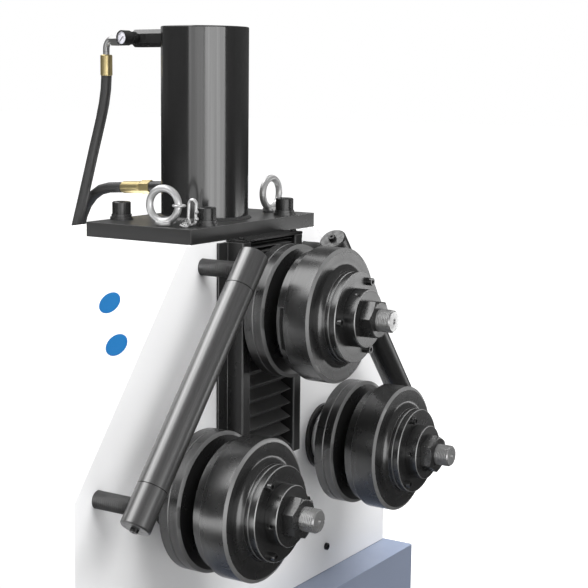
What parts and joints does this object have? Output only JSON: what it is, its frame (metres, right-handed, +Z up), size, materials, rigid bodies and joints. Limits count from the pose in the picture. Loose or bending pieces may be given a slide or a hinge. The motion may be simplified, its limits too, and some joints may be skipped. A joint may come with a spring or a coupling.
{
  "type": "hydraulic ring roller",
  "caption": "Floor-standing bending machine: rolls on horizontal shafts curve bar and profile as a press cylinder lowers the top roll.",
  "frame": {"origin": "on the floor, in the middle of the anchor holes", "axes": "+X to the machine's right as seen from the rolls' side, +Y to the back, +Z up; the rolls' axes run along Y"},
  "size_m": [0.734, 0.6519, 1.4123],
  "materials": {
    "cabinet_paint": "smooth blue-grey powder coat",
    "white_paint": "fine white powder coat",
    "frame_primer": "matt primer",
    "motor_paint": "blue machine enamel",
    "satin_black": "satin black paint",
    "gloss_black": "gloss black paint",
    "black_oxide": "black oxide, oiled",
    "roll_steel": "hardened and blackened, bright edges",
    "guide_steel": "turned, lightly blackened",
    "thread_steel": "rolled thread, oiled",
    "bright_steel": "ground, bright",
    "chrome_rod": "hard chrome",
    "zinc": "bright zinc plate",
    "brass": "yellow zinc and brass",
    "hose_rubber": "smooth hose cover",
    "bellows_cloth": "coated cloth",
    "gauge_black": "black case"
  },
  "bodies": {
    "root": {"cabinet": "cabinet_paint", "anchor_feet": "cabinet_paint", "service_panel": "cabinet_paint", "head_frame": "frame_primer", "head_cover": "white_paint", "rear_cover": "white_paint", "top_plate": "satin_black", "plate_bolts": "black_oxide", "lifting_eyes": "zinc", "snap_hook": "zinc", "cylinder_tube": "gloss_black", "port_blocks": "satin_black", "gauge_case": "gauge_black", "elbow_fitting": "zinc", "hose_ferrules": "brass", "upper_hose": "hose_rubber", "lower_hose": "hose_rubber", "hose_glands": "black_oxide", "slide_guides": "satin_black", "guide_strip": "black_oxide", "bearing_covers": "satin_black", "roll_bearings": "bright_steel", "gearmotor": "motor_paint", "hydraulic_unit": "frame_primer", "upper_bellows": "bellows_cloth", "lower_bellows": "bellows_cloth"},
    "carriage": {"carriage": "satin_black", "piston_rod": "chrome_rod", "carriage_bearings": "bright_steel"},
    "top_roll": {"top_shaft": "bright_steel", "top_back_discs": "roll_steel", "top_spacer": "roll_steel", "top_front_disc": "roll_steel", "top_cover_ring": "roll_steel", "top_collar": "roll_steel", "top_nut": "black_oxide"},
    "left_roll": {"left_shaft": "bright_steel", "left_back_discs": "roll_steel", "left_spacer": "roll_steel", "left_front_disc": "roll_steel", "left_cover_ring": "roll_steel", "left_collar": "roll_steel", "left_nut": "black_oxide", "left_gear": "bright_steel"},
    "right_roll": {"right_shaft": "bright_steel", "right_back_discs": "roll_steel", "right_spacer": "roll_steel", "right_front_disc": "roll_steel", "right_cover_ring": "roll_steel", "right_collar": "roll_steel", "right_nut": "black_oxide", "right_gear": "bright_steel"},
    "left_guide": {"left_guide_rods": "thread_steel", "left_guide_blocks": "guide_steel"},
    "left_sleeve": {"left_guide_sleeve": "guide_steel"},
    "right_guide": {"right_guide_rods": "thread_steel", "right_guide_blocks": "guide_steel"},
    "right_sleeve": {"right_guide_sleeve": "guide_steel"},
    "pinion": {"drive_pinion": "bright_steel"},
    "needle": {"gauge_needle": "gauge_black"}
  },
  "joints": [
    {"name": "carriage_slide", "type": "slide", "parent": "root", "child": "carriage", "axis": [0, 0, -1], "range_m": [0, 0.11], "deforming": ["lower_bellows", "upper_bellows"]},
    {"name": "top_roll_spin", "type": "hinge", "parent": "carriage", "child": "top_roll", "pos_m": [0, -0.2, 1.0977], "axis": [0, 1, 0], "continuous": true},
    {"name": "left_roll_spin", "type": "hinge", "parent": "root", "child": "left_roll", "pos_m": [-0.1517, -0.2, 0.915], "axis": [0, 1, 0], "continuous": true},
    {"name": "right_roll_spin", "type": "hinge", "parent": "root", "child": "right_roll", "pos_m": [0.1517, -0.2, 0.915], "axis": [0, 1, 0], "continuous": true},
    {"name": "pinion_spin", "type": "hinge", "parent": "root", "child": "pinion", "pos_m": [0, -0.2, 0.82978], "axis": [0, 1, 0], "continuous": true},
    {"name": "left_guide_slide", "type": "slide", "parent": "root", "child": "left_guide", "axis": [0, -1, 0], "range_m": [-0.025, 0.025]},
    {"name": "left_sleeve_spin", "type": "hinge", "parent": "left_guide", "child": "left_sleeve", "pos_m": [-0.19245, -0.257, 1.04715], "axis": [0.6398, 0, 0.7685], "continuous": true},
    {"name": "right_guide_slide", "type": "slide", "parent": "root", "child": "right_guide", "axis": [0, -1, 0], "range_m": [-0.012, 0.038]},
    {"name": "right_sleeve_spin", "type": "hinge", "parent": "right_guide", "child": "right_sleeve", "pos_m": [0.19245, -0.247, 1.04715], "axis": [-0.6398, 0, 0.7685], "continuous": true},
    {"name": "needle_swing", "type": "hinge", "parent": "root", "child": "needle", "pos_m": [-0.01413, -0.01966, 1.4003], "axis": [0.9877, -0.1564, 0], "range_deg": [0, 270], "stiffness_Nm_per_rad": 0.0004}
  ],
  "couplings": [
    {"joint": "right_roll_spin", "follows": "left_roll_spin", "ratio": 1},
    {"joint": "pinion_spin", "follows": "left_roll_spin", "ratio": -1.6364}
  ]
}
